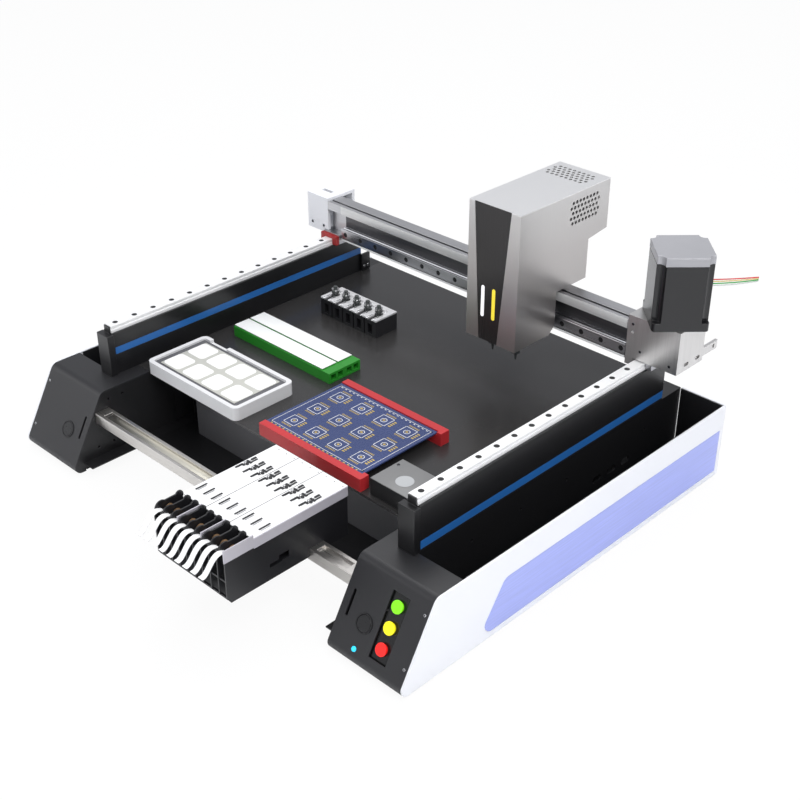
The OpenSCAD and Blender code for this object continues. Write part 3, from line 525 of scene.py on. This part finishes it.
outline(-9, 30, 121, 126.5, 0.45)
for column in range(4):
    for row in range(3):
        x = 7.5 + column * 32
        y = 46 + row * 31.5
        outline(x - 8, y - 8, x + 8, y + 8, 0.6)
        add_ring(ink, at(x, y, BOARD_TOP), at(x, y, BOARD_TOP + 0.06), 3.6 * MM, 3.0 * MM, segments=28)
        add_cylinder(gold, at(x, y, BOARD_TOP), at(x, y, BOARD_TOP + 0.08), 1.5 * MM, segments=20)
        for k in range(7):
            for side in (-1, 1):
                u = x - 6 + k * 2
                v = y + side * 10.6
                add_box(gold, at(u - 0.55, v - 1.1, BOARD_TOP), at(u + 0.55, v + 1.1, BOARD_TOP + 0.08))
        for k in range(4):
            u = y - 4.5 + k * 3
            add_box(gold, at(x + 10.2, u - 0.9, BOARD_TOP), at(x + 13.6, u + 0.9, BOARD_TOP + 0.08))
for k in range(22):
    add_box(gold, at(-7 + k * 5.8, 27.2, BOARD_TOP), at(-4.4 + k * 5.8, 28.6, BOARD_TOP + 0.08))
    add_box(ink, at(-6.6 + k * 5.8, 124, BOARD_TOP), at(-4.2 + k * 5.8, 124.8, BOARD_TOP + 0.06))
piece("board_print", ink, "base", INK)
piece("board_pads", gold, "base", GOLD)

# nozzle changer: fork bars, bright caps and the light strips at the foot of each bay
bm = bmesh.new()
for i in range(5):
    x = FIRST_HOLDER + i * HOLDER_PITCH
    for side in (-1, 1):
        add_box(bm, at(x + side * 4.6 - 0.9, 241.2, 105.6), at(x + side * 4.6 + 0.9, 254, 107.4), 0.3 * MM)
    add_ring(bm, at(x, 258, 117.6), at(x, 258, 118.2), 2.3 * MM, 1.1 * MM, segments=24)
    add_ring(bm, at(x, 258, 113.4), at(x, 258, 115.2), 4.5 * MM, 2.5 * MM, segments=32)
piece("changer_forks", bm, "base", BRIGHT)
bm = bmesh.new()
for i in range(5):
    x = FIRST_HOLDER + i * HOLDER_PITCH
    add_box(bm, at(x - 3.4, 243.2, 85.5), at(x + 3.4, 247.6, 88.2), 0.1 * MM)
piece("changer_foot_strips", bm, "base", LID)

# dark discs at the bottoms of the rail holes, painted shade in the holes
bm = bmesh.new()
for side in (-1, 1):
    for i in range(15):
        add_cylinder(bm, at(side * RAIL_MID, i * 25, 140.6), at(side * RAIL_MID, i * 25, 141.55), HOLE_SHADE_RADIUS,
                     segments=28)
piece("rail_hole_painted_shade", bm, "base", LINER)
bm = bmesh.new()
for i in range(-8, 9):
    add_cylinder(bm, at(i * 25.5 - 1, 321.2, 149), at(i * 25.5 - 1, 320.3, 149), HOLE_SHADE_RADIUS, segments=28)
piece("gantry_rail_hole_painted_shade", bm, "gantry", LINER)

# beam: painted shade as dark strips in the groove on top and at the bottom of the recess, and painted
# highlights as a white strip on the lip below the rail and a brighter strip on the lip above it
plate("beam_groove_painted_shade", (-211, 325.1, 180.2), (208, 328.1, 180.9), LINER, "gantry")
plate("beam_recess_painted_shade", (-211, 327.3, 155.6), (208, 327.9, 173.6), BEAM_RECESS_PAINTED_SHADE, "gantry")
plate("beam_low_lip_painted_highlight", (-212, 319.75, 140.1), (208, 319.98, 142.2), LID, "gantry", 0.02)
plate("beam_high_lip_painted_highlight", (-212, 319.75, 173.8), (208, 319.98, 183.8), BEAM_LIP_PAINTED_HIGHLIGHT,
      "gantry", 0.02)

# wide lids of the stick feeders
for j in range(2):
    plate("stick_cover_%d" % (j + 1), (-195.4, 136.2 + j * STICK_PITCH, 98.55),
          (-49, 156.8 + j * STICK_PITCH, 99.3), LID)

# pick windows, small levers and slots on the feeder plates
dark = bmesh.new()
for i in range(LANES):
    x = FEEDER_LEFT + (i + 0.5) * LANE
    for lo, hi in (((-3.4, -60), (-1.4, -51)), ((-1.6, -53), (1.2, -50.6)), ((-3.8, -46), (2.8, -43.6)),
                   ((-3.0, -41), (-0.6, -35)), ((0.6, -44), (2.2, -36)), ((-1.2, -108), (0.4, -95))):
        add_box(dark, at(x + lo[0], lo[1], FEEDER_SKIN), at(x + hi[0], hi[1], 109.9))
    add_cylinder(dark, at(x + 1.2, -48.5, FEEDER_SKIN), at(x + 1.2, -48.5, 110.3), 1.7 * MM, segments=18)
piece("feeder_pick_windows", dark, "base", FRAME_BLACK)
bm = bmesh.new()
for i in range(LANES):
    x = FEEDER_LEFT + (i + 0.5) * LANE
    add_cylinder(bm, at(x - 2.2, -48.5, FEEDER_SKIN), at(x - 2.2, -48.5, 110.6), 1.3 * MM,
                 segments=18, bevel=0.2 * MM)
    add_box(bm, at(x + 1.2, -107, FEEDER_SKIN), at(x + 2.4, -97, 109.5))
piece("feeder_pins", bm, "base", BRIGHT)
bm = bmesh.new()
for m in (1, 2):
    x = FEEDER_LEFT + m * 3 * LANE
    add_box(bm, at(x - 0.25, -119.5, FEEDER_SKIN), at(x + 0.25, -7.5, FEEDER_SKIN + 0.1))
piece("feeder_seams", bm, "base", LINER)

# screws on the sheet metal
bm = bmesh.new()
for x, z in ((215.3, 181), (226.5, 153.3), (262, 150)):
    screw(bm, at(x, 319.95, z), (0, -1, 0), radius=1.6 * MM, height=0.5 * MM)
for x in (-263, -243):
    screw(bm, at(x, 319.95, 150), (0, -1, 0), radius=1.5 * MM, height=0.5 * MM)
piece("gantry_screws", bm, "gantry", [DARK_STEEL, LINER])
bm = bmesh.new()
slope = math.atan2(48.5, 85.3)
for side in (-1, 1):
    for s in (18.5, 69.5):
        y = -46.2 - s * math.sin(slope)
        z = 85.3 - s * math.cos(slope)
        screw(bm, at(side * 284.2, y + 0.6, z - 0.2), (0, -math.cos(slope), math.sin(slope)),
              radius=1.5 * MM, height=0.5 * MM)
piece("cover_screws", bm, "base", [BRIGHT, LINER])

# rings round the black buttons
bm = bmesh.new()
normal = Vector((0, -math.cos(slope), math.sin(slope)))
for side in (-1, 1):
    y = -46.2 - 54.1 * math.sin(slope)
    z = 85.3 - 54.1 * math.cos(slope)
    centre = at(side * 228.7, y, z)
    add_ring(bm, centre + normal * 0.05 * MM, centre + normal * 0.7 * MM, 9.4 * MM, 8.1 * MM, segments=48)
piece("button_rings", bm, "base", LINER)

# bracket at the rear of the left beam
bm = bmesh.new()
add_box(bm, at(-217.6, 356, 86), at(-214.4, 370, 108), 0.3 * MM)
screw(bm, at(-214.4, 360, 92), (1, 0, 0), radius=1.8 * MM, height=0.8 * MM, index=1, socket_shade=0)
screw(bm, at(-214.4, 366, 92), (1, 0, 0), radius=1.8 * MM, height=0.8 * MM, index=1, socket_shade=0)
piece("left_rear_bracket", bm, "base", [LINER, BRIGHT])

# recessed silver of the front bar, with a painted reflection pale in the middle and painted shade dark at
# its ends
BAR_POCKET_PAINTED_LIGHT = graded(brushed("bar_pocket", (0.5, 0.47, 0.42), 0.3, 0, metal=0.8, vary=0.05), "X",
                    at(-185, 0, 0).x, at(35, 0, 0).x, (
                        (0.0, (0.05, 0.05, 0.05)), (0.35, (0.62, 0.6, 0.52)),
                        (0.7, (0.75, 0.72, 0.62)), (1.0, (0.1, 0.1, 0.1))))
plate("bar_pocket_floor_painted_light", (-185.2, -52.4, 61.05), (35.3, -42.8, 61.3), BAR_POCKET_PAINTED_LIGHT)

# ---------------------------------------------------------------- stage
def sky():
    """Soft studio surround, white where the camera sees it."""
    world = bpy.data.worlds.new("studio")
    bpy.context.scene.world = world
    world.use_nodes = True
    nodes, links = world.node_tree.nodes, world.node_tree.links
    nodes.clear()
    out = nodes.new("ShaderNodeOutputWorld")
    mix = nodes.new("ShaderNodeMixShader")
    path = nodes.new("ShaderNodeLightPath")
    soft = nodes.new("ShaderNodeBackground")
    soft.inputs["Color"].default_value = (0.92, 0.94, 1, 1)
    soft.inputs["Strength"].default_value = 0.55
    white = nodes.new("ShaderNodeBackground")
    white.inputs["Strength"].default_value = 1
    links.new(path.outputs["Is Camera Ray"], mix.inputs["Fac"])
    links.new(soft.outputs["Background"], mix.inputs[1])
    links.new(white.outputs["Background"], mix.inputs[2])
    links.new(mix.outputs["Shader"], out.inputs["Surface"])


def floor_finish():
    m = bpy.data.materials.new("pale_floor")
    m.use_nodes = True
    nodes, links = m.node_tree.nodes, m.node_tree.links
    shader = nodes["Principled BSDF"]
    shader.inputs["Base Color"].default_value = (0.9, 0.9, 0.9, 1)
    shader.inputs["Roughness"].default_value = 0.9
    glow = nodes.new("ShaderNodeEmission")
    glow.inputs["Strength"].default_value = 1
    mix = nodes.new("ShaderNodeMixShader")
    path = nodes.new("ShaderNodeLightPath")
    share = nodes.new("ShaderNodeMath")
    share.operation = "MULTIPLY"
    share.inputs[1].default_value = 0.93
    links.new(path.outputs["Is Camera Ray"], share.inputs[0])
    links.new(share.outputs["Value"], mix.inputs["Fac"])
    links.new(shader.outputs["BSDF"], mix.inputs[1])
    links.new(glow.outputs["Emission"], mix.inputs[2])
    links.new(mix.outputs["Shader"], nodes["Material Output"].inputs["Surface"])
    return m


def lamp(name, place, target, size, power, size_y=None):
    data = bpy.data.lights.new(name, "AREA")
    data.shape = "RECTANGLE"
    data.size = size
    data.size_y = size_y or size
    data.energy = power
    o = bpy.data.objects.new(name, data)
    o.location = place
    o.rotation_euler = (Vector(target) - Vector(place)).to_track_quat("-Z", "Y").to_euler()
    bpy.context.scene.collection.objects.link(o)


sky()
bm = bmesh.new()
bmesh.ops.create_grid(bm, x_segments=1, y_segments=1, size=6)
floor_mesh = bpy.data.meshes.new("floor")
bm.to_mesh(floor_mesh)
bm.free()
floor_mesh.materials.append(floor_finish())
floor = bpy.data.objects.new("floor", floor_mesh)
bpy.context.scene.collection.objects.link(floor)
lamp("key", (1.3, -0.6, 1.7), (0, 0, 0.1), 1.2, 26)
lamp("top", (-0.3, 0.6, 2.0), (0, 0, 0.1), 1.6, 22)
lamp("fill", (-1.5, -1.4, 1.0), (0, 0, 0.1), 1.4, 8)
bpy.context.scene.view_settings.view_transform = "Standard"
